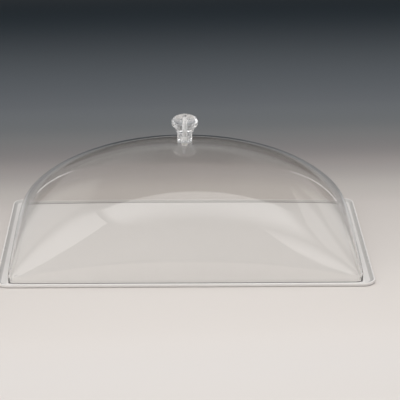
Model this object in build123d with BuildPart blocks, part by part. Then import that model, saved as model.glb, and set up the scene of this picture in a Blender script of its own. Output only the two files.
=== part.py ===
"""Buffet food cover: a clear rectangular dome with a clear knob, standing loose in a shallow white tray.

Millimetres. The origin is the middle of the tray's underside, +Z is up, X runs along the long side
and -Y is the front.
"""
import os
from math import asin, atan2, cos, degrees, pi, radians, sin, sqrt, tan

from build123d import *

# Tray: a flat floor with a lip round its edge, which slopes down to the floor on its inside
tray_length = 530.0
tray_width = 325.0
tray_corner_radius = 18.0
tray_floor_thickness = 2.5
tray_lip_height = 5.0
tray_lip_thickness = 2.6
tray_lip_round = 1.0
tray_slope_angle = 45.0
tray_slope_fillet = 6.0
tray_foot_chamfer = 0.8

# Dome: a doubly curved vault on a short straight skirt, outside sizes
dome_length = 498.0
dome_width = 309.0
dome_height = 155.5
dome_skirt_height = 9.0
dome_wall = 3.0
dome_edge_round = 0.6
corner_softness = 0.03
vault_fullness = 0.974
knob_seat_width = 24.0
section_count = 12
points_per_turn = 48

# Knob: a turned mushroom with a bead at its waist
knob_height = 39.2
knob_head_radius = 19.1
knob_head_level = 28.3
knob_edge_radius = 7.5
knob_shoulder_radius = 9.4
knob_cone_angle = 50.6
knob_bead_radius = 12.9
knob_bead_top_level = 17.4
knob_bead_foot_level = 13.2
knob_neck_radius = 10.9
knob_foot_chamfer = 0.8

# Fastening: screw from inside the dome, through the washers, into the insert in the knob
screw_diameter = 5.0
screw_clearance = 0.1
screw_tip_level = 34.0
screw_tip_chamfer = 0.8
screw_head_diameter = 9.5
screw_head_height = 3.6
screw_head_round = 1.6
screw_recess_length = 5.2
screw_recess_width = 1.1
screw_recess_depth = 1.8
insert_diameter = 8.6
insert_foot_level = 2.0
insert_height = 5.0
insert_groove_width = 1.0
insert_groove_depth = 0.5
seal_washer_diameter = 21.0
seal_washer_thickness = 0.8
dome_hole_diameter = 5.6
screw_washer_diameter = 12.0
screw_washer_thickness = 1.0

# Levels worked out from the sizes above
tray_depth = tray_lip_height - tray_floor_thickness
tray_slope_foot = tray_lip_thickness + tray_depth / tan(radians(tray_slope_angle))
dome_foot = tray_floor_thickness
vault_foot = dome_foot + dome_skirt_height
crown_level = dome_foot + dome_height
ceiling_level = crown_level - dome_wall
knob_foot = crown_level + seal_washer_thickness
screw_bore_radius = screw_diameter / 2 + screw_clearance
screw_bore_depth = screw_tip_level + screw_clearance
screw_head_top = ceiling_level - screw_washer_thickness

# Knob profile: where its cone ends, and how far its edge turns before the flatter cap meets it smoothly
cone_tilt = radians(knob_cone_angle)
knob_cone_top_radius = knob_head_radius - knob_shoulder_radius * (1 - sin(cone_tilt))
knob_cone_top_level = knob_head_level - knob_shoulder_radius * cos(cone_tilt)
knob_cone_foot_radius = knob_cone_top_radius - (knob_cone_top_level - knob_bead_top_level) / tan(cone_tilt)
knob_cap_rise = knob_height - knob_head_level
knob_edge_centre = knob_head_radius - knob_edge_radius
knob_cap_radius = (knob_edge_centre**2 + knob_cap_rise**2 - knob_edge_radius**2) / (
    2 * (knob_cap_rise - knob_edge_radius)
)
knob_edge_turn = degrees(atan2(knob_cap_radius - knob_cap_rise, knob_edge_centre))


def vault_outline(half_length, half_width, level):
    """Points of the curve sqrt(1 - u^2) * sqrt(1 - v^2) = level, stretched to the half sizes.

    Low levels are rectangles with rounded corners, and levels near 1 are ellipses.
    """
    points = []
    for step in range(points_per_turn):
        angle = 2 * pi * step / points_per_turn
        u = sqrt(1 - level ** (2 * cos(angle) ** 2))
        v = sqrt(1 - level ** (2 * sin(angle) ** 2))
        x = half_length * (u if cos(angle) >= 0 else -u)
        y = half_width * (v if sin(angle) >= 0 else -v)
        points.append((x, y))
    return points


def vault_sections(length, width, top_level):
    """Outlines and heights of a vault from its foot to its flat top, evenly spaced along its arch."""
    foot_reach = sqrt(1 - corner_softness**2)
    half_length = length / 2 / foot_reach
    half_width = width / 2 / foot_reach
    first_angle = asin(corner_softness)
    last_angle = pi / 2 - asin(knob_seat_width / 2 / half_width)
    highest = sin(last_angle)
    sections = []
    for index in range(section_count):
        arch_angle = first_angle + (last_angle - first_angle) * index / (section_count - 1)
        level = sin(arch_angle)
        rise = ((level - corner_softness) / (highest - corner_softness)) ** vault_fullness
        height = vault_foot + (top_level - vault_foot) * rise
        sections.append((vault_outline(half_length, half_width, level), height))
    return sections


outer_sections = vault_sections(dome_length, dome_width, crown_level)
inner_sections = vault_sections(dome_length - 2 * dome_wall, dome_width - 2 * dome_wall, ceiling_level)

# Tray
with BuildPart() as tray:
    with BuildSketch():
        RectangleRounded(tray_length, tray_width, tray_corner_radius)
    extrude(amount=tray_lip_height)
    with BuildSketch(Plane.XY.offset(tray_floor_thickness)):
        RectangleRounded(
            tray_length - 2 * tray_slope_foot,
            tray_width - 2 * tray_slope_foot,
            tray_corner_radius - tray_slope_foot,
        )
    extrude(amount=tray_depth, taper=tray_slope_angle - 90, mode=Mode.SUBTRACT)
    levels = tray.faces().filter_by(Axis.Z).sort_by(Axis.Z)
    underside = levels[0]
    floor = levels[1]
    lip_top = levels[-1]
    fillet(floor.outer_wire().edges(), radius=tray_slope_fillet)
    fillet(lip_top.edges(), radius=tray_lip_round)
    chamfer(underside.edges(), length=tray_foot_chamfer)

# Dome: skirt and vault outside, hollowed by the same forms one wall smaller
with BuildPart() as cover_dome:
    with BuildSketch(Plane.XY.offset(dome_foot)):
        with BuildLine():
            Spline(*outer_sections[0][0], periodic=True)
        make_face()
    extrude(amount=dome_skirt_height)
    for outline, height in outer_sections:
        with BuildSketch(Plane.XY.offset(height)):
            with BuildLine():
                Spline(*outline, periodic=True)
            make_face()
    loft()
    with BuildSketch(Plane.XY.offset(dome_foot)):
        with BuildLine():
            Spline(*inner_sections[0][0], periodic=True)
        make_face()
    extrude(amount=dome_skirt_height, mode=Mode.SUBTRACT)
    for outline, height in inner_sections:
        with BuildSketch(Plane.XY.offset(height)):
            with BuildLine():
                Spline(*outline, periodic=True)
            make_face()
    loft(mode=Mode.SUBTRACT)
    fillet(cover_dome.faces().sort_by(Axis.Z)[0].edges(), radius=dome_edge_round)
    with Locations((0, 0, crown_level)):
        Hole(radius=dome_hole_diameter / 2, depth=2 * dome_wall)

# Knob, turned with its stepped bore
with BuildPart() as knob:
    with BuildSketch(Plane.XZ.shift_origin((0, 0, knob_foot))):
        with BuildLine():
            bore = Polyline(
                (0, knob_height),
                (0, screw_bore_depth),
                (screw_bore_radius, screw_bore_depth),
                (screw_bore_radius, insert_foot_level + insert_height),
                (insert_diameter / 2, insert_foot_level + insert_height),
                (insert_diameter / 2, 0),
                (knob_neck_radius - knob_foot_chamfer, 0),
                (knob_neck_radius, knob_foot_chamfer),
            )
            neck = Line(bore @ 1, (knob_neck_radius, knob_bead_foot_level))
            bead = ThreePointArc(
                neck @ 1,
                (knob_bead_radius, (knob_bead_foot_level + knob_bead_top_level) / 2),
                (knob_cone_foot_radius, knob_bead_top_level),
            )
            cone = Line(bead @ 1, (knob_cone_top_radius, knob_cone_top_level))
            shoulder = TangentArc(cone @ 1, (knob_head_radius, knob_head_level), tangent=cone % 1)
            edge = JernArc(shoulder @ 1, (0, 1), knob_edge_radius, knob_edge_turn)
            TangentArc(edge @ 1, bore @ 0, tangent=edge % 1)
        make_face()
    revolve(axis=Axis.Z)

# Insert pressed into the foot of the knob, with a groove round its middle
with BuildPart() as knob_insert:
    with Locations((0, 0, knob_foot + insert_foot_level)):
        Cylinder(
            radius=insert_diameter / 2,
            height=insert_height,
            align=(Align.CENTER, Align.CENTER, Align.MIN),
        )
    with BuildSketch(Plane.XY.offset(knob_foot + insert_foot_level + (insert_height - insert_groove_width) / 2)):
        Circle(insert_diameter / 2)
        Circle(insert_diameter / 2 - insert_groove_depth, mode=Mode.SUBTRACT)
    extrude(amount=insert_groove_width, mode=Mode.SUBTRACT)
    with Locations((0, 0, knob_foot + insert_foot_level)):
        Cylinder(
            radius=screw_bore_radius,
            height=insert_height,
            align=(Align.CENTER, Align.CENTER, Align.MIN),
            mode=Mode.SUBTRACT,
        )

# Screw, head down, with a cross recess
with BuildPart() as knob_screw:
    with Locations((0, 0, screw_head_top)):
        Cylinder(
            radius=screw_diameter / 2,
            height=knob_foot + screw_tip_level - screw_head_top,
            align=(Align.CENTER, Align.CENTER, Align.MIN),
        )
    chamfer(knob_screw.faces().sort_by(Axis.Z)[-1].edges(), length=screw_tip_chamfer)
    with Locations((0, 0, screw_head_top)):
        Cylinder(
            radius=screw_head_diameter / 2,
            height=screw_head_height,
            align=(Align.CENTER, Align.CENTER, Align.MAX),
        )
    fillet(knob_screw.faces().sort_by(Axis.Z)[0].edges(), radius=screw_head_round)
    with Locations((0, 0, screw_head_top - screw_head_height)):
        for slot_length, slot_width in (
            (screw_recess_length, screw_recess_width),
            (screw_recess_width, screw_recess_length),
        ):
            Box(
                slot_length,
                slot_width,
                screw_recess_depth,
                align=(Align.CENTER, Align.CENTER, Align.MIN),
                mode=Mode.SUBTRACT,
            )

# Washers
with BuildPart() as seal_washer:
    with BuildSketch(Plane.XY.offset(crown_level)):
        Circle(seal_washer_diameter / 2)
        Circle(dome_hole_diameter / 2, mode=Mode.SUBTRACT)
    extrude(amount=seal_washer_thickness)

with BuildPart() as screw_washer:
    with BuildSketch(Plane.XY.offset(screw_head_top)):
        Circle(screw_washer_diameter / 2)
        Circle(screw_bore_radius, mode=Mode.SUBTRACT)
    extrude(amount=screw_washer_thickness)

# One file for each piece
os.makedirs("parts", exist_ok=True)
pieces = {
    "tray": tray,
    "cover_dome": cover_dome,
    "knob": knob,
    "knob_insert": knob_insert,
    "knob_screw": knob_screw,
    "seal_washer": seal_washer,
    "screw_washer": screw_washer,
}
for name, piece in pieces.items():
    piece.part.label = name
    export_step(piece.part, f"parts/{name}.step")
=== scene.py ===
"""Looks of a buffet food cover: a clear dome with a turned clear knob, standing in a white lipped tray.

Metres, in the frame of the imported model: +Z is up, X runs along the long side and -Y is the front.
"""
from math import asin, atan2, cos, pi, radians, sin, sqrt, tan

import bmesh
import bpy
from mathutils import Matrix, Vector


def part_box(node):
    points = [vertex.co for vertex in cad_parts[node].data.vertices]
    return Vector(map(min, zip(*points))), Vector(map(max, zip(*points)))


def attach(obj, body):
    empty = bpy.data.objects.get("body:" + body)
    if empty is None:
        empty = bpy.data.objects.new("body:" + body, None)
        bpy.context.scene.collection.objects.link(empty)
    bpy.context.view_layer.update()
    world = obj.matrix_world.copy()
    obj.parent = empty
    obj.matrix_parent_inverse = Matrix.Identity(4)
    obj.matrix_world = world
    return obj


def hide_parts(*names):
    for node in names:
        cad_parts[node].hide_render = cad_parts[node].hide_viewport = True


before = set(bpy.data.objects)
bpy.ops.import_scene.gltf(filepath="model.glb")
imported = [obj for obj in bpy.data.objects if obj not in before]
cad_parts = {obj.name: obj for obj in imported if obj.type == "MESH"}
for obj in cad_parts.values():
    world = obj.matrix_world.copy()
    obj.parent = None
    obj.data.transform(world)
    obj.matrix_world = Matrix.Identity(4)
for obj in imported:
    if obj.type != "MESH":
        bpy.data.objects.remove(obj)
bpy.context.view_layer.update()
mm = 0.001

# Boxes of the solids that the pieces stand for
tray_low, tray_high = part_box("tray")
dome_low, dome_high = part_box("cover_dome")
knob_low, knob_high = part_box("knob")
insert_low, insert_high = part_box("knob_insert")
screw_low, screw_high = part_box("knob_screw")
seal_low, seal_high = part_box("seal_washer")
washer_low, washer_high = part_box("screw_washer")

# Room left between touching faces, and the overlap of metal set into clear plastic
touch_gap = 0.02 * mm
rim_gap = 0.1 * mm
set_in = 0.03 * mm

# Meshing
weld = 0.001 * mm
sharpest_smooth = radians(32)
pairing_lift = 5 * mm
round_profile = 0.5

# Tray
tray_corner_radius = 18 * mm
tray_corner_segments = 16
tray_foot_chamfer = 0.8 * mm
tray_floor_level = dome_low.z
lip_round = 1.0 * mm
lip_flat = 0.4 * mm
lip_width = 7.6 * mm
lip_fillet = 6 * mm
lip_segments = 6
floor_margin = 0.4 * mm
painted_shade_fade = 1.0 * mm
open_floor_fade = 2 * mm

# Dome
dome_wall = 3 * mm
skirt_height = 9 * mm
corner_softness = 0.03
vault_fullness = 0.974
knob_seat_width = 24 * mm
seat_margin = 0.9
dome_hole_radius = 2.8 * mm
dome_steps = 256
vault_rings = 48
crease_round = 2.5 * mm
inner_crease_round = 1.2 * mm
crease_segments = 5
rim_round = 0.6 * mm
rim_segments = 3

# Knob
knob_neck_radius = 10.9 * mm
knob_foot_chamfer = 0.8 * mm
knob_bead_foot_level = 13.2 * mm
knob_bead_radius = 12.9 * mm
knob_bead_top_level = 17.4 * mm
knob_cone_angle = radians(50.6)
knob_shoulder_radius = 9.4 * mm
knob_head_level = 28.3 * mm
knob_edge_radius = 7.5 * mm
knob_bore_radius = 2.6 * mm
knob_bore_level = 34.1 * mm
insert_seat_radius = 4.3 * mm
insert_seat_level = 7 * mm
satin_fade = 4 * mm
satin_roughness = 0.03
turned_steps = 96
arc_steps = 12

# Insert, screw and washers
insert_groove_width = 1.0 * mm
insert_groove_depth = 0.5 * mm
insert_chamfer = 0.2 * mm
knurl_depth = 0.12 * mm
thread_crest_radius = 2.5 * mm
thread_pitch = 0.8 * mm
thread_depth = 0.45 * mm
thread_steps = 32
thread_lead_turns = 1.5
thread_spare_turns = 3
screw_tip_chamfer = 0.8 * mm
screw_tip_radius = 1.6 * mm
screw_head_level = washer_low.z
screw_head_round = 1.6 * mm
recess_length = 5.2 * mm
recess_width = 1.1 * mm
recess_depth = 1.8 * mm
recess_taper = 0.7
washer_edge = 0.15 * mm

# Finishes
acrylic_ior = 1.49
plastic_ior = 1.5
vinyl_ior = 1.53
dome_lamp_pass = 0.985
knob_lamp_pass = 0.96
vinyl_lamp_pass = 0.9
knob_clearness = 0.9
vinyl_clearness = 0.85
dome_tint = (0.985, 0.97, 0.953)
dome_wiped_tint = (0.97, 0.955, 0.938)
knob_tint = (0.99, 0.99, 0.99)
knob_cloud_tint = (0.97, 0.972, 0.975)
tray_white = (0.782, 0.754, 0.73)
tray_mottle_white = (0.752, 0.725, 0.702)
# Painted shade in the tray's colour: the cover's shadow on the open floor, the lip's slopes and the low
# sides
painted_open_floor_shade = (0.655, 0.632, 0.612)
painted_slope_shade = (0.472, 0.456, 0.441)
painted_low_side_shade = (0.58, 0.558, 0.54)
scuff_shade = (0.5, 0.48, 0.46)
insert_bright = (0.95, 0.945, 0.93)
insert_dulled = (0.87, 0.86, 0.845)
steel_bright = (0.93, 0.925, 0.915)
steel_cloudy = (0.8, 0.795, 0.785)
vinyl_tint = (0.93, 0.935, 0.935)
vinyl_cloud_tint = (0.86, 0.87, 0.875)
dome_wave_depth = 0.25 * mm
knob_ring_depth = 0.004 * mm
tray_peel_depth = 0.006 * mm
insert_ring_depth = 0.008 * mm
steel_streak_depth = 0.006 * mm
vinyl_grain_depth = 0.005 * mm


class Wire:
    """A value that runs between the nodes of a finish; arithmetic on it adds Math nodes."""

    def __init__(self, finish, socket):
        self.finish = finish
        self.socket = socket

    def math(self, operation, first, second):
        return self.finish.node("ShaderNodeMath", {"operation": operation}, {0: first, 1: second})

    def __add__(self, other):
        return self.math("ADD", self, other)

    def __radd__(self, other):
        return self.math("ADD", other, self)

    def __sub__(self, other):
        return self.math("SUBTRACT", self, other)

    def __rsub__(self, other):
        return self.math("SUBTRACT", other, self)

    def __mul__(self, other):
        return self.math("MULTIPLY", self, other)

    def __rmul__(self, other):
        return self.math("MULTIPLY", other, self)

    def __truediv__(self, other):
        return self.math("DIVIDE", self, other)

    def __gt__(self, other):
        return self.math("GREATER_THAN", self, other)


class Finish:
    """A material under way: its nodes, and the surface that they lead to."""

    def __init__(self, name):
        self.material = bpy.data.materials.new(name)
        self.material.use_nodes = True
        self.tree = self.material.node_tree
        self.tree.nodes.clear()

    def node(self, kind, settings=None, sockets=None, output=0):
        """Adds a node with its settings and its sockets' values or links; gives one of its outputs."""
        made = self.tree.nodes.new(kind)
        for name, value in (settings or {}).items():
            if name == "stops":
                self.set_stops(made.color_ramp, value)
            else:
                setattr(made, name, value)
        for name, value in (sockets or {}).items():
            if isinstance(value, Wire):
                self.tree.links.new(value.socket, made.inputs[name])
            else:
                made.inputs[name].default_value = value
        return Wire(self, made.outputs[output])

    def set_stops(self, ramp, stops):
        ramp.interpolation = "CARDINAL"
        while len(ramp.elements) < len(stops):
            ramp.elements.new(1)
        for element, (position, colour) in zip(ramp.elements, stops):
            element.position = position
            element.color = (*colour, 1)

    def place(self):
        return self.node("ShaderNodeTexCoord", output="Object")

    def axis(self, name):
        return self.node("ShaderNodeSeparateXYZ", sockets={0: self.place()}, output=name)

    def vector(self, operation, first, second=None, output=0):
        sockets = {0: first}
        if second is not None:
            sockets[1] = second
        return self.node("ShaderNodeVectorMath", {"operation": operation}, sockets, output)

    def past_corner(self, high, radius=0.0):
        """Distance outside a box round the Z axis, given by its high corner and smaller by a radius."""
        flat = self.vector("MULTIPLY", self.place(), (1, 1, 0))
        mirrored = self.vector("ABSOLUTE", flat)
        past = self.vector("SUBTRACT", mirrored, (high.x - radius, high.y - radius, 0))
        outside = self.vector("MAXIMUM", past, (0, 0, 0))
        return self.vector("LENGTH", outside, output="Value")

    def noise(self, scale, detail=3.0, stretch=(1, 1, 1), turn=0.0):
        """Soft random patches, scale to the metre, longer where stretch is small."""
        placing = {"Vector": self.place(), "Scale": stretch, "Rotation": (0, 0, turn)}
        where = self.node("ShaderNodeMapping", sockets=placing)
        grain = {"Vector": where, "Scale": scale, "Detail": detail}
        return self.node("ShaderNodeTexNoise", sockets=grain, output="Fac")

    def over(self, share, first, second):
        """A second colour over a first, by a share from 0 to 1."""
        sockets = {0: share, 6: first, 7: (*second, 1)}
        return self.node("ShaderNodeMix", {"data_type": "RGBA"}, sockets, output=2)

    def between(self, share, first, second):
        """A colour between two, by a share from 0 to 1."""
        return self.over(share, (*first, 1), second)

    def hairlines(self, scale, turn, amount):
        """Fine straight scratches: the crests of a stretched noise that rise over an amount."""
        streaks = self.noise(scale, detail=2.0, stretch=(0.04, 1, 1), turn=turn)
        return (streaks > amount) * self.noise(30, detail=1.0)

    def rise(self, value, width):
        """A smooth rise from 0 to 1 as a value goes from 0 to a width, or a step if the width is 0."""
        if not width:
            return value > 0
        smooth = {"interpolation_type": "SMOOTHSTEP"}
        return self.node("ShaderNodeMapRange", smooth, {0: value, 2: width})

    def bump(self, height, depth):
        sockets = {"Height": height, "Distance": depth, "Strength": 1.0}
        return self.node("ShaderNodeBump", sockets=sockets)

    def surface(self, sockets, lamp_pass=None):
        """Ends the finish in a surface; lamp_pass is the share of lamplight that it lets through."""
        shader = self.node("ShaderNodeBsdfPrincipled", sockets=sockets)
        if lamp_pass:
            passed = (lamp_pass, lamp_pass, lamp_pass, 1)
            clear = self.node("ShaderNodeBsdfTransparent", sockets={"Color": passed})
            lamp_ray = self.node("ShaderNodeLightPath", output="Is Shadow Ray")
            shader = self.node("ShaderNodeMixShader", sockets={0: lamp_ray, 1: shader, 2: clear})
        end = self.tree.nodes.new("ShaderNodeOutputMaterial")
        self.tree.links.new(shader.socket, end.inputs["Surface"])
        return self.material


def polished_clear_acrylic():
    """Formed clear sheet: wiped patches, hairlines and the slight waviness of forming."""
    finish = Finish("polished_clear_acrylic")
    wiped = finish.noise(14)
    hairlines = finish.hairlines(260, turn=0.6, amount=0.76)
    hairlines = hairlines + finish.hairlines(310, turn=2.2, amount=0.78)
    return finish.surface(
        {
            "Base Color": finish.between(wiped, dome_tint, dome_wiped_tint),
            "Roughness": 0.012 * wiped + 0.05 * hairlines,
            "Normal": finish.bump(finish.noise(7, detail=1.0), dome_wave_depth),
            "IOR": acrylic_ior,
            "Transmission Weight": 1.0,
        },
        lamp_pass=dome_lamp_pass,
    )


def turned_clear_acrylic():
    """Turned clear knob: a polished cap, and lathe satin below its widest ring and in its bore."""
    finish = Finish("turned_clear_acrylic")
    rings = finish.noise(1400, detail=1.0, stretch=(0.02, 0.02, 1))
    satin = finish.rise(knob_low.z + knob_head_level - finish.axis("Z"), satin_fade)
    return finish.surface(
        {
            "Base Color": finish.between(finish.noise(90), knob_tint, knob_cloud_tint),
            "Roughness": 0.01 + 0.03 * finish.noise(220) + satin_roughness * satin,
            "Normal": finish.bump(rings, knob_ring_depth),
            "IOR": acrylic_ior,
            "Transmission Weight": knob_clearness,
        },
        lamp_pass=knob_lamp_pass,
    )


def moulded_white_plastic():
    """Gloss white moulding: mottled, with orange peel, hairlines and a scuffed lip.

    The lip's slopes, the low sides and the floor that the cover leaves open carry painted shade: their
    colour is darker where shade and the cover's shadow fall.
    """
    finish = Finish("moulded_white_plastic")
    mottling = finish.noise(22)
    hairlines = finish.hairlines(340, turn=0.25, amount=0.76)
    hairlines = hairlines + finish.hairlines(300, turn=1.7, amount=0.78)
    lip = finish.axis("Z") > tray_high.z - lip_round
    scuffs = lip * (finish.noise(160, detail=4.0) > 0.62)
    from_edge = tray_corner_radius - finish.past_corner(tray_high, tray_corner_radius)
    # Painted shade on the lip's slopes
    slopes = finish.rise(from_edge - lip_round - lip_flat, painted_shade_fade)
    slopes = slopes * finish.rise(lip_width - from_edge, painted_shade_fade)
    # Painted shade on the low sides, below the floor's level
    low_sides = finish.rise(tray_floor_level - finish.axis("Z"), painted_shade_fade)
    # Painted shadow of the cover on the floor that it leaves open
    open_floor = finish.rise(finish.past_corner(dome_high), open_floor_fade)
    open_floor = open_floor * (from_edge > lip_width - painted_shade_fade)
    shade = finish.between(mottling, tray_white, tray_mottle_white)
    shade = finish.over(0.9 * open_floor, shade, painted_open_floor_shade)
    shade = finish.over(slopes, shade, painted_slope_shade)
    shade = finish.over(low_sides, shade, painted_low_side_shade)
    shade = finish.over(0.3 * scuffs, shade, scuff_shade)
    peel = finish.noise(900, detail=1.0) + 0.4 * hairlines
    return finish.surface(
        {
            "Base Color": shade,
            "Roughness": 0.2 + 0.1 * mottling + 0.15 * hairlines + 0.2 * scuffs,
            "Normal": finish.bump(peel, tray_peel_depth),
            "IOR": plastic_ior,
        }
    )


def bright_turned_metal():
    """Turned insert: fine rings and a little dulling."""
    finish = Finish("bright_turned_metal")
    rings = finish.noise(2600, detail=1.0, stretch=(0.02, 0.02, 1))
    return finish.surface(
        {
            "Base Color": finish.between(finish.noise(400), insert_bright, insert_dulled),
            "Roughness": 0.3 + 0.2 * rings,
            "Metallic": 1.0,
            "Normal": finish.bump(rings, insert_ring_depth),
        }
    )


def plain_stainless_steel():
    """Cold-formed screw and washer steel: cloudy, with fine drawn streaks."""
    finish = Finish("plain_stainless_steel")
    clouds = finish.noise(350)
    streaks = finish.noise(900, detail=2.0, stretch=(0.15, 1, 1), turn=0.5)
    return finish.surface(
        {
            "Base Color": finish.between(clouds, steel_bright, steel_cloudy),
            "Roughness": 0.28 + 0.14 * streaks + 0.08 * clouds,
            "Metallic": 1.0,
            "Normal": finish.bump(streaks, steel_streak_depth),
        }
    )


def soft_clear_vinyl():
    """Soft washer: slightly cloudy and matt."""
    finish = Finish("soft_clear_vinyl")
    clouds = finish.noise(260)
    return finish.surface(
        {
            "Base Color": finish.between(clouds, vinyl_tint, vinyl_cloud_tint),
            "Roughness": 0.25 + 0.15 * clouds,
            "Normal": finish.bump(finish.noise(1500, detail=1.0), vinyl_grain_depth),
            "IOR": vinyl_ior,
            "Transmission Weight": vinyl_clearness,
        },
        lamp_pass=vinyl_lamp_pass,
    )


def make_piece(name, shape, finish, body, node):
    """Makes a finished shape a piece that rides on its body and stands for its solid."""
    bmesh.ops.remove_doubles(shape, verts=shape.verts, dist=weld)
    bmesh.ops.recalc_face_normals(shape, faces=shape.faces)
    mesh = bpy.data.meshes.new(name)
    shape.to_mesh(mesh)
    shape.free()
    mesh.shade_smooth()
    mesh.set_sharp_from_angle(angle=sharpest_smooth)
    mesh.materials.append(finish)
    piece = bpy.data.objects.new(name, mesh)
    bpy.context.scene.collection.objects.link(piece)
    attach(piece, body)
    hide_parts(node)


def parts_of(geometry, kind):
    return [part for part in geometry if isinstance(part, kind)]


def add_outline(shape, points, closed):
    """Adds an outline of (radius, height) points in the XZ plane, ready to be turned."""
    corners = [shape.verts.new((radius, 0, height)) for radius, height in points]
    followers = corners[1:] + corners[:1] if closed else corners[1:]
    edges = [shape.edges.new(pair) for pair in zip(corners, followers)]
    return corners + edges


def turn(shape, points, closed, steps=turned_steps):
    """Turns an outline once round the Z axis."""
    bmesh.ops.spin(
        shape,
        geom=add_outline(shape, points, closed),
        axis=(0, 0, 1),
        angle=2 * pi,
        steps=steps,
        use_merge=True,
    )


def arc(centre, radius, start, sweep, steps=arc_steps):
    """Points along an arc from its start angle, without its first point."""
    angles = [start + sweep * step / steps for step in range(1, steps + 1)]
    return [(centre[0] + radius * cos(angle), centre[1] + radius * sin(angle)) for angle in angles]


def arc_through(first, middle, last, steps=arc_steps):
    """Points along the arc through three points, without its first point."""
    (ax, ay), (bx, by), (cx, cy) = first, middle, last
    twice_area = 2 * (ax * (by - cy) + bx * (cy - ay) + cx * (ay - by))
    squares = [x * x + y * y for x, y in (first, middle, last)]
    centre = (
        (squares[0] * (by - cy) + squares[1] * (cy - ay) + squares[2] * (ay - by)) / twice_area,
        (squares[0] * (cx - bx) + squares[1] * (ax - cx) + squares[2] * (bx - ax)) / twice_area,
    )
    start = atan2(ay - centre[1], ax - centre[0])
    sweep = atan2(cy - centre[1], cx - centre[0]) - start
    return arc(centre, sqrt((ax - centre[0]) ** 2 + (ay - centre[1]) ** 2), start, sweep, steps)


def make_tray():
    """A plate with rounded corners, whose edge is drawn up and over into the lip by a row of insets."""
    shape = bmesh.new()
    bmesh.ops.create_grid(shape, x_segments=1, y_segments=1, size=0.5)
    size = tray_high - tray_low
    bmesh.ops.scale(shape, vec=(size.x, size.y, 1), verts=shape.verts)
    bmesh.ops.translate(shape, vec=(0, 0, tray_low.z + tray_foot_chamfer), verts=shape.verts)
    bmesh.ops.bevel(
        shape,
        geom=shape.verts[:],
        offset=tray_corner_radius,
        affect="VERTICES",
        segments=tray_corner_segments,
        profile=round_profile,
        material=-1,
    )
    plate = shape.faces[:]
    drawn = bmesh.ops.extrude_face_region(shape, geom=plate, use_keep_orig=True)["geom"]
    wall_top = tray_high.z - lip_round
    bmesh.ops.translate(
        shape,
        vec=(0, 0, wall_top - tray_low.z - tray_foot_chamfer),
        verts=parts_of(drawn, bmesh.types.BMVert),
    )
    bmesh.ops.recalc_face_normals(shape, faces=shape.faces)
    bmesh.ops.inset_region(
        shape, faces=plate, thickness=tray_foot_chamfer, depth=tray_foot_chamfer, use_even_offset=True
    )

    # The lip in section, as distance in from the edge and level: rounded, then down an S to the floor
    run = lip_width - lip_round - lip_flat
    drop = tray_high.z - tray_floor_level
    slope = 2 * atan2(drop, run)
    brow = run / sin(slope) - lip_fillet
    flat_end = lip_round + lip_flat
    section = [(0.0, wall_top)]
    section += arc((lip_round, wall_top), lip_round, pi, -pi / 2, lip_segments)
    section.append((flat_end, tray_high.z))
    section += arc((flat_end, tray_high.z - brow), brow, pi / 2, -slope, lip_segments)
    hollow = (flat_end + run, tray_floor_level + lip_fillet)
    section += arc(hollow, lip_fillet, -pi / 2 - slope, slope, lip_segments)
    section.append((flat_end + run + floor_margin, tray_floor_level))
    top = parts_of(drawn, bmesh.types.BMFace)
    for (last_in, last_level), (next_in, next_level) in zip(section, section[1:]):
        bmesh.ops.inset_region(
            shape,
            faces=top,
            thickness=next_in - last_in,
            depth=next_level - last_level,
            use_even_offset=True,
        )
    make_piece("white_tray", shape, moulded_white_plastic(), "tray", "tray")


def vault_point(half_length, half_width, level, angle):
    """A point of the vault's outline sqrt(1 - u^2) * sqrt(1 - v^2) = level, at an angle round it.

    The outline is a soft rectangle where the level is low, and an ellipse where it is near 1.
    """
    u = sqrt(1 - level ** (2 * cos(angle) ** 2))
    v = sqrt(1 - level ** (2 * sin(angle) ** 2))
    return half_length * (u if cos(angle) >= 0 else -u), half_width * (v if sin(angle) >= 0 else -v)


def carry_edge(shape, edges):
    """Draws a new ring out of an open ring of edges, still in its place."""
    drawn = bmesh.ops.extrude_edge_only(shape, edges=edges)["geom"]
    verts = parts_of(drawn, bmesh.types.BMVert)
    carried = set(verts)
    edges = parts_of(drawn, bmesh.types.BMEdge)
    return verts, [edge for edge in edges if carried.issuperset(edge.verts)]


def join_level_rings(shape, outer, inner):
    """Joins two rings that lie at one level. One is lifted meanwhile, so that their points pair up."""
    lifted = list({vert for edge in inner for vert in edge.verts})
    bmesh.ops.translate(shape, vec=(0, 0, pairing_lift), verts=lifted)
    bmesh.ops.bridge_loops(shape, edges=outer + inner)
    bmesh.ops.translate(shape, vec=(0, 0, -pairing_lift), verts=lifted)


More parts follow.
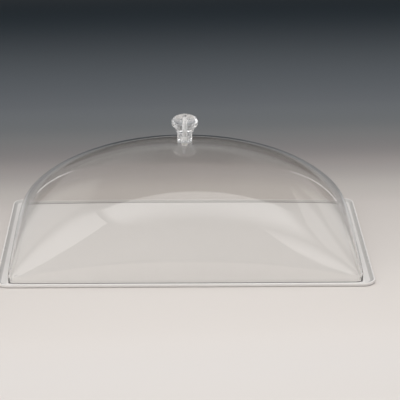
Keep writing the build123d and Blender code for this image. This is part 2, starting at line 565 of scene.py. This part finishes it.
def make_dome_wall(shape, length, width, foot, top, rounding):
    """One wall of the dome: a turned bowl moved out to the vault's outlines, with skirt, seat and hole.

    Gives the open edges of its rim and of its hole.
    """
    before = set(shape.verts)
    reach = sqrt(1 - corner_softness**2)
    half_length = length / 2 / reach
    half_width = width / 2 / reach
    first_angle = asin(corner_softness)
    last_angle = pi / 2 - asin(knob_seat_width / 2 / half_width)
    highest = sin(last_angle)
    vault_foot = dome_low.z + skirt_height
    bowl = [(cos(first_angle), corner_softness)]
    bowl += arc((0, 0), 1, first_angle, last_angle - first_angle, vault_rings)
    turn(shape, bowl, False, dome_steps)
    wall = [vert for vert in shape.verts if vert not in before]
    for vert in wall:
        level = min(max(vert.co.z, corner_softness), highest)
        x, y = vault_point(half_length, half_width, level, atan2(vert.co.y, vert.co.x))
        rise = ((level - corner_softness) / (highest - corner_softness)) ** vault_fullness
        vert.co = (x, y, vault_foot + (top - vault_foot) * rise)
    faces = {face for vert in wall for face in vert.link_faces}
    open_edges = {edge for face in faces for edge in face.edges if edge.is_boundary}
    crease = [edge for edge in open_edges if edge.verts[0].co.z < (vault_foot + top) / 2]
    seat = [edge for edge in open_edges if edge not in set(crease)]

    skirt, rim = carry_edge(shape, crease)
    for vert in skirt:
        vert.co.z = foot
    inner_seat, seat = carry_edge(shape, seat)
    bmesh.ops.scale(shape, vec=(seat_margin, seat_margin, 1), verts=inner_seat)
    hole_ring, hole = carry_edge(shape, seat)
    for vert in hole_ring:
        direction = vert.co.xy.normalized()
        vert.co.xy = direction * dome_hole_radius
    bmesh.ops.bevel(
        shape,
        geom=crease,
        offset=rounding,
        affect="EDGES",
        segments=crease_segments,
        profile=round_profile,
        material=-1,
    )
    return rim, hole


def make_dome():
    """Outer and inner walls, joined round the hole for the knob screw and round the rim."""
    shape = bmesh.new()
    size = dome_high - dome_low
    foot = dome_low.z + rim_gap
    outer_rim, outer_hole = make_dome_wall(shape, size.x, size.y, foot, dome_high.z, crease_round)
    inner_rim, inner_hole = make_dome_wall(
        shape,
        size.x - 2 * dome_wall,
        size.y - 2 * dome_wall,
        foot,
        dome_high.z - dome_wall,
        inner_crease_round,
    )
    bmesh.ops.bridge_loops(shape, edges=outer_hole + inner_hole)
    join_level_rings(shape, outer_rim, inner_rim)
    bmesh.ops.recalc_face_normals(shape, faces=shape.faces)
    bmesh.ops.bevel(
        shape,
        geom=outer_rim + inner_rim,
        offset=rim_round,
        affect="EDGES",
        segments=rim_segments,
        profile=round_profile,
        material=-1,
    )
    acrylic = polished_clear_acrylic()
    make_piece("clear_dome", shape, acrylic, "cover", "cover_dome")


def make_knob():
    """A turned mushroom with a stepped bore: neck, bead, cone, rounded edge and flatter cap."""
    head_radius = knob_high.x
    height = knob_high.z - knob_low.z
    cone_top = (
        head_radius - knob_shoulder_radius * (1 - sin(knob_cone_angle)),
        knob_head_level - knob_shoulder_radius * cos(knob_cone_angle),
    )
    cone_foot = (
        cone_top[0] - (cone_top[1] - knob_bead_top_level) / tan(knob_cone_angle),
        knob_bead_top_level,
    )
    cap_rise = height - knob_head_level
    edge_centre = head_radius - knob_edge_radius
    squares = edge_centre**2 + cap_rise**2 - knob_edge_radius**2
    cap_radius = squares / (2 * (cap_rise - knob_edge_radius))
    edge_turn = atan2(cap_radius - cap_rise, edge_centre)
    bead_foot = (knob_neck_radius, knob_bead_foot_level)
    bead_middle = (knob_bead_radius, (knob_bead_foot_level + knob_bead_top_level) / 2)

    outline = [
        (0, knob_bore_level),
        (knob_bore_radius, knob_bore_level),
        (knob_bore_radius, insert_seat_level),
        (insert_seat_radius, insert_seat_level),
        (insert_seat_radius, 0),
        (knob_neck_radius - knob_foot_chamfer, 0),
        (knob_neck_radius, knob_foot_chamfer),
        bead_foot,
    ]
    outline += arc_through(bead_foot, bead_middle, cone_foot)
    outline.append(cone_top)
    outline += arc(
        (head_radius - knob_shoulder_radius, knob_head_level),
        knob_shoulder_radius,
        knob_cone_angle - pi / 2,
        pi / 2 - knob_cone_angle,
    )
    outline += arc((edge_centre, knob_head_level), knob_edge_radius, 0, edge_turn)
    outline += arc((0, height - cap_radius), cap_radius, edge_turn, pi / 2 - edge_turn)
    shape = bmesh.new()
    turn(shape, [(radius, knob_low.z + level) for radius, level in outline], False)
    make_piece("turned_knob", shape, turned_clear_acrylic(), "cover", "knob")


def make_insert():
    """A knurled sleeve with a groove round its middle, set into the foot of the knob."""
    radius = insert_high.x + set_in
    low, high = insert_low.z, insert_high.z + set_in
    middle = (insert_low.z + insert_high.z) / 2
    groove_low = middle - insert_groove_width / 2
    groove_high = middle + insert_groove_width / 2
    groove_radius = radius - insert_groove_depth
    shape = bmesh.new()
    outline = [
        (knob_bore_radius, low),
        (radius - insert_chamfer, low),
        (radius, low + insert_chamfer),
        (radius, groove_low),
        (groove_radius, groove_low),
        (groove_radius, groove_high),
        (radius, groove_high),
        (radius, high - insert_chamfer),
        (radius - insert_chamfer, high),
        (knob_bore_radius, high),
    ]
    turn(shape, outline, True)
    for vert in shape.verts:
        step = round(atan2(vert.co.y, vert.co.x) / (2 * pi / turned_steps))
        if step % 2 and vert.co.xy.length > radius - weld:
            vert.co.xy *= (radius - knurl_depth) / radius
    make_piece("knurled_insert", shape, bright_turned_metal(), "cover", "knob_insert")


def open_ring(shape, level):
    """The open edges of a shape at one level."""
    return [edge for edge in shape.edges if edge.is_boundary and abs(edge.verts[0].co.z - level) < weld]


def move_ring(verts, radius, level):
    for vert in verts:
        vert.co.xy = vert.co.xy.normalized() * radius
        vert.co.z = level


def make_screw():
    """A pan head screw, head down: a thread turned and raised in steps, and a cross recess."""
    crest = thread_crest_radius
    root = crest - thread_depth
    foot = screw_head_level - touch_gap
    tip = screw_high.z - screw_tip_chamfer
    turns = int((tip - foot) / thread_pitch) + thread_spare_turns
    start = foot - thread_lead_turns * thread_pitch
    # One turn of the thread in section, as radius and share of the pitch
    one_turn = [(root, 0), (root, 0.15), (crest, 0.5), (crest, 0.65), (root, 1)]
    section = [(radius, start + share * thread_pitch) for radius, share in one_turn]
    shape = bmesh.new()
    bmesh.ops.spin(
        shape,
        geom=add_outline(shape, section, False),
        axis=(0, 0, 1),
        dvec=(0, 0, thread_pitch / thread_steps),
        angle=2 * pi * turns,
        steps=thread_steps * turns,
    )
    bmesh.ops.remove_doubles(shape, verts=shape.verts, dist=weld)
    for level, way in ((foot, -1), (tip, 1)):
        bmesh.ops.bisect_plane(
            shape,
            geom=shape.verts[:] + shape.edges[:] + shape.faces[:],
            dist=weld / 10,
            plane_co=(0, 0, level),
            plane_no=(0, 0, way),
            clear_outer=True,
        )
    tip_ring, tip_edges = carry_edge(shape, open_ring(shape, tip))
    move_ring(tip_ring, screw_tip_radius, screw_high.z)
    bmesh.ops.edgeloop_fill(shape, edges=tip_edges)
    shank_edges = open_ring(shape, foot)

    # Head, from the cross recess outwards
    head_radius = screw_high.x
    arm, half = recess_length / 2, recess_width / 2
    corners = [(arm, half), (half, half), (half, arm)]
    cross = []
    for quarter in range(4):
        turned = Matrix.Rotation(quarter * pi / 2, 3, "Z")
        cross += [shape.verts.new(turned @ Vector((x, y, screw_low.z))) for x, y in corners]
    recess_mouth = shape.faces.new(cross)
    mouth_edges = recess_mouth.edges[:]
    recess = bmesh.ops.extrude_face_region(shape, geom=[recess_mouth], use_keep_orig=True)["geom"]
    shape.faces.remove(recess_mouth)
    recess_floor = parts_of(recess, bmesh.types.BMVert)
    bmesh.ops.scale(shape, vec=(recess_taper, recess_taper, 1), verts=recess_floor)
    bmesh.ops.translate(shape, vec=(0, 0, recess_depth), verts=recess_floor)
    flat_ring = bmesh.ops.create_circle(
        shape, segments=turned_steps // 2, radius=head_radius - screw_head_round
    )["verts"]
    bmesh.ops.translate(shape, vec=(0, 0, screw_low.z), verts=flat_ring)
    ring_edges = list({edge for vert in flat_ring for edge in vert.link_edges})
    join_level_rings(shape, ring_edges, mouth_edges)
    centre = (head_radius - screw_head_round, screw_low.z + screw_head_round)
    head_side = arc(centre, screw_head_round, -pi / 2, pi / 2, arc_steps // 2)
    head_side.append((head_radius, foot))
    for radius, level in head_side:
        ring, ring_edges = carry_edge(shape, ring_edges)
        move_ring(ring, radius, level)
    join_level_rings(shape, ring_edges, shank_edges)
    make_piece("pan_screw", shape, plain_stainless_steel(), "cover", "knob_screw")


def make_washer(name, low, high, bore_radius, finish, node):
    """A flat ring with its edges just broken, a touch clear of what it is clamped between."""
    radius, foot, top = high.x, low.z + touch_gap, high.z - touch_gap
    outline = [
        (bore_radius, foot + washer_edge),
        (bore_radius + washer_edge, foot),
        (radius - washer_edge, foot),
        (radius, foot + washer_edge),
        (radius, top - washer_edge),
        (radius - washer_edge, top),
        (bore_radius + washer_edge, top),
        (bore_radius, top - washer_edge),
    ]
    shape = bmesh.new()
    turn(shape, outline, True)
    make_piece(name, shape, finish, "cover", node)


make_tray()
make_dome()
make_knob()
make_insert()
make_screw()
make_washer(
    "seal_ring",
    seal_low,
    seal_high,
    dome_hole_radius,
    soft_clear_vinyl(),
    "seal_washer",
)
make_washer(
    "plain_washer",
    washer_low,
    washer_high,
    knob_bore_radius,
    plain_stainless_steel(),
    "screw_washer",
)

# Studio: a floor with painted light falloff, pale in front and dark behind, among pale and dark panels
air = 0.33
air_blue = 1.015
hard_edges = ((0, 0), (0, 0))
paper_half_width = 5.0
paper_front = -4.0
paper_back = 4.0
painted_falloff_turn = 0.065
arch_steps = 48
# Stops of the floor's painted light falloff: place along Y, and colour
painted_falloff_stops = (
    (-1.1, (0.25, 0.24, 0.23)),
    (-0.62, (0.3, 0.287, 0.275)),
    (-0.54, (0.672, 0.634, 0.604)),
    (-0.5, (0.673, 0.635, 0.605)),
    (-0.4, (0.674, 0.637, 0.61)),
    (-0.3, (0.664, 0.622, 0.589)),
    (-0.1, (0.598, 0.56, 0.53)),
    (0.14, (0.489, 0.455, 0.431)),
    (0.25, (0.364, 0.339, 0.323)),
    (0.36, (0.229, 0.214, 0.21)),
    (0.5, (0.152, 0.156, 0.159)),
    (0.65, (0.12, 0.128, 0.138)),
    (1.0, (0.061, 0.069, 0.077)),
    (1.4, (0.027, 0.032, 0.037)),
    (2.2, (0.12, 0.12, 0.125)),
)


def painted_falloff_floor():
    """Matt floor with painted light falloff: its colour grades from pale in front to dark behind."""
    finish = Finish("painted_falloff_floor")
    first, last = painted_falloff_stops[0][0], painted_falloff_stops[-1][0]
    along = (finish.axis("Y") - painted_falloff_turn * finish.axis("X") - first) / (last - first)
    stops = [((place - first) / (last - first), colour) for place, colour in painted_falloff_stops]
    shade = finish.node("ShaderNodeValToRGB", {"stops": stops}, {0: along})
    return finish.surface({"Base Color": shade, "Roughness": 0.7, "Specular IOR Level": 0.0})


def glow(name, corner, along, across, brightness, soft):
    """Light of a panel, where 1 is white; near its edges it fades to the air's over the soft shares."""
    finish = Finish(name)
    from_corner = finish.vector("SUBTRACT", finish.place(), corner)
    level = brightness - air
    for side, (near, far) in zip((along, across), soft):
        share = finish.vector("DOT_PRODUCT", from_corner, side / side.length_squared, "Value")
        level = level * finish.rise(share, near) * finish.rise(1 - share, far)
    return finish.surface(
        {
            "Base Color": (0, 0, 0, 1),
            "Specular IOR Level": 0.0,
            "Emission Color": level + air,
            "Emission Strength": 1.0,
        }
    )


def make_sheet(name, corner, along, across, material, arched=False):
    """A flat sheet of the studio, from a corner and its two edges, or an arch over the first edge."""
    shape = bmesh.new()
    spots = [corner, corner + along, corner + along + across, corner + across]
    if arched:
        angles = [pi * step / arch_steps for step in range(arch_steps + 1)]
        spots = [corner + along * (1 + cos(angle)) / 2 + across * sin(angle) for angle in angles]
    shape.faces.new([shape.verts.new(spot) for spot in spots])
    mesh = bpy.data.meshes.new(name)
    shape.to_mesh(mesh)
    shape.free()
    mesh.materials.append(material)
    sheet = bpy.data.objects.new(name, mesh)
    bpy.context.scene.collection.objects.link(sheet)
    return sheet


def make_panel(
    name, corner, along_end, across_end, brightness, soft=hard_edges, arched=False, for_gloss=False
):
    """A glowing panel, from a corner to the ends of its two edges.

    The camera doesn't see it. One for_gloss is seen in reflections alone.
    """
    corner = Vector(corner)
    along, across = Vector(along_end) - corner, Vector(across_end) - corner
    light = glow(name, corner, along, across, brightness, soft)
    panel = make_sheet(name, corner, along, across, light, arched)
    panel.visible_camera = False
    panel.visible_shadow = False
    panel.visible_transmission = not for_gloss
    panel.visible_diffuse = not for_gloss


def overhead_lamp(name, place, size, brightness):
    """An area lamp that faces down, with a face of the given brightness that gloss doesn't show."""
    lamp = bpy.data.lights.new(name, "AREA")
    lamp.shape = "RECTANGLE"
    lamp.size, lamp.size_y = size
    lamp.energy = brightness * pi * size[0] * size[1]
    holder = bpy.data.objects.new(name, lamp)
    holder.location = place
    holder.visible_camera = False
    holder.visible_glossy = False
    holder.visible_transmission = False
    bpy.context.scene.collection.objects.link(holder)


make_sheet(
    "floor",
    Vector((-paper_half_width, paper_front, 0)),
    Vector((2 * paper_half_width, 0, 0)),
    Vector((0, paper_back - paper_front, 0)),
    painted_falloff_floor(),
)

# Panels: a corner and the ends of its two edges, then brightness and the soft shares of the edges
make_panel(
    "back_arch",
    (-1.32, 3.3, 0), (1.72, 3.3, 0), (-1.32, 3.3, 1.83),
    0.03, ((0, 0), (0.25, 0)), arched=True,
)
make_panel(
    "back_wall",
    (-1.74, 3.4, 0), (1.99, 3.4, 0), (-1.74, 3.4, 2.9),
    0.2,
)
make_panel(
    "back_low",
    (-3.0, 3.45, 0), (3.4, 3.45, 0), (-3.0, 3.45, 1.6),
    0.12, ((0, 0), (0.3, 0.25)),
)
make_panel(
    "back_high",
    (-1.7, 3.5, 2.6), (2.4, 3.5, 2.6), (-1.7, 3.5, 9.0),
    0.05, ((0.35, 0.35), (0.1, 0.45)),
)
make_panel(
    "left_strip",
    (-1.73, 3.25, 0), (-1.73, 3.25, 1.6), (-1.67, 3.25, 0),
    1.3, ((0, 0.3), (0, 0)),
)
make_panel(
    "right_strip",
    (1.92, 3.25, 0), (1.92, 3.25, 2.3), (1.98, 3.25, 0),
    1.3, ((0, 0.3), (0, 0)),
)
make_panel(
    "left_wall",
    (-2.0, -0.35, 0), (-2.0, 2.6, 0), (-2.0, -0.35, 4.6),
    0.7, ((0.2, 0.3), (0, 0.2)),
)
make_panel(
    "right_wall",
    (2.2, 0.4, 0), (2.2, 2.7, 0), (2.2, 0.4, 2.6),
    0.7, ((0.2, 0.4), (0, 0.2)),
)
for side in (-1, 1):
    make_panel(
        "near_sheet",
        (side * 0.27, -0.12, 0.001), (side * 0.9, -0.12, 0.001), (side * 0.27, 0.3, 0.001),
        0.68, ((0, 0.3), (0.1, 0.35)), for_gloss=True,
    )
    make_panel(
        "far_sheet",
        (side * 0.26, 0.2, 0.0005), (side * 2.2, 0.2, 0.0005), (side * 0.26, 3.2, 0.0005),
        0.43, ((0.18, 0.1), (0, 0.1)), for_gloss=True,
    )
make_panel(
    "front_overhead",
    (-0.8, -0.69, 1.9), (1.2, -0.29, 1.9), (-0.46, -2.39, 1.9),
    1.95, ((0.06, 0.2), (0, 0.8)),
)
make_panel(
    "right_overhead",
    (1.2, -1.8, 1.92), (2.7, -1.3, 1.92), (1.4, 1.4, 1.92),
    1.0, ((0.1, 0.3), (0.2, 0.3)),
)
make_panel(
    "left_front",
    (-0.7, -2.2, 0.02), (-1.05, -2.2, 5.0), (-2.45, -0.25, 0.02),
    1.55, ((0, 0.25), (0, 0.65)),
)
make_panel(
    "right_front",
    (0.5, -2.0, 0.25), (0.7, -2.0, 2.4), (1.9, -2.0, 0.25),
    1.6, ((0.1, 0.75), (0.08, 0.75)),
)
overhead_lamp("fill", (0.2, 0.25, 2.4), (2.6, 1.8), 2.4)

world = bpy.data.worlds.new("studio_air")
world.use_nodes = True
world.node_tree.nodes["Background"].inputs["Color"].default_value = (air, air, air * air_blue, 1)
bpy.context.scene.world = world

# Camera, fitted to the photograph's square frame
picture_side = 400
sensor_width = 36
focal_pixels = 1675.3
camera_turn = 0.0207179
camera_tilt = 0.3756365
camera_roll = 0.0036313
camera_target = Vector((0.025787, 0.167997, 0))
camera_distance = 2.632962
view = bpy.data.cameras.new("photograph_view")
view.sensor_width = sensor_width
view.lens = focal_pixels / picture_side * sensor_width
camera = bpy.data.objects.new("photograph_view", view)
camera.matrix_world = (
    Matrix.Translation(camera_target)
    @ Matrix.Rotation(-camera_turn, 4, "Z")
    @ Matrix.Rotation(pi / 2 - camera_tilt, 4, "X")
    @ Matrix.Rotation(camera_roll, 4, "Z")
    @ Matrix.Translation((0, 0, camera_distance))
)
bpy.context.scene.collection.objects.link(camera)
bpy.context.scene.camera = camera
bpy.context.scene.view_settings.view_transform = "Standard"
